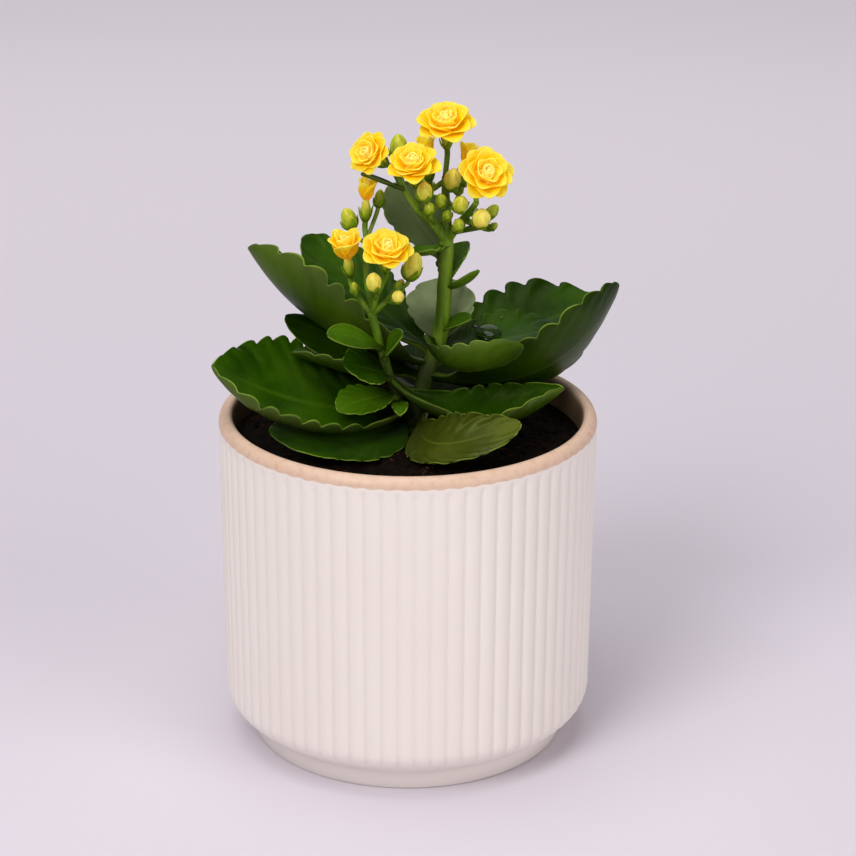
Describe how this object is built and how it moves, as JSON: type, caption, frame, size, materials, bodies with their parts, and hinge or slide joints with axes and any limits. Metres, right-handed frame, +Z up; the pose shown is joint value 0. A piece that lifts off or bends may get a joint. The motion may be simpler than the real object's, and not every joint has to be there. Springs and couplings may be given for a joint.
{
  "type": "potted kalanchoe",
  "caption": "Succulent houseplant with scalloped fleshy leaves and double yellow flowers, standing in soil in a fluted round ceramic pot.",
  "frame": {"origin": "middle of the pot's flat base, on the surface that it stands on", "axes": "+Z up along the pot's axis; -Y towards the side seen in front, so +Y is the back and +X the right"},
  "size_m": [0.1288, 0.12, 0.2061],
  "materials": {
    "glaze": "satin",
    "soil": "matte",
    "stem": "satin",
    "leaf": "satin",
    "petal": "matte"
  },
  "bodies": {
    "root": {"pot": "glaze", "soil": "soil", "main_stem": "stem", "side_stem": "stem", "leaf_left_front": "leaf", "leaf_left_low": "leaf", "leaf_front": "leaf", "leaf_right_front": "leaf", "leaf_right_inner": "leaf", "leaf_right_high": "leaf", "leaf_right_back": "leaf", "leaf_right_middle": "leaf", "leaf_left_high": "leaf", "leaf_left_back": "leaf", "leaf_left_middle": "leaf", "leaf_left_inner": "leaf", "leaf_back": "leaf", "leaf_back_left": "leaf", "leaf_back_right": "leaf", "leaf_upright_back": "leaf", "leaf_pale_back": "leaf", "leaf_wavy_right": "leaf", "leaf_pointed_right": "leaf", "leaf_curled_left": "leaf", "leaf_small_bright": "leaf", "leaf_side_left": "leaf", "leaf_side_upper": "leaf", "leaf_side_front": "leaf", "leaf_bract_left": "leaf", "leaf_bract_right": "leaf", "flower_top": "petal", "flower_middle": "petal", "flower_left": "petal", "flower_right": "petal", "flower_hidden_left": "petal", "flower_hidden_right": "petal", "flower_short_front": "petal", "flower_short_left": "petal", "flower_short_top": "petal"}
  },
  "joints": []
}
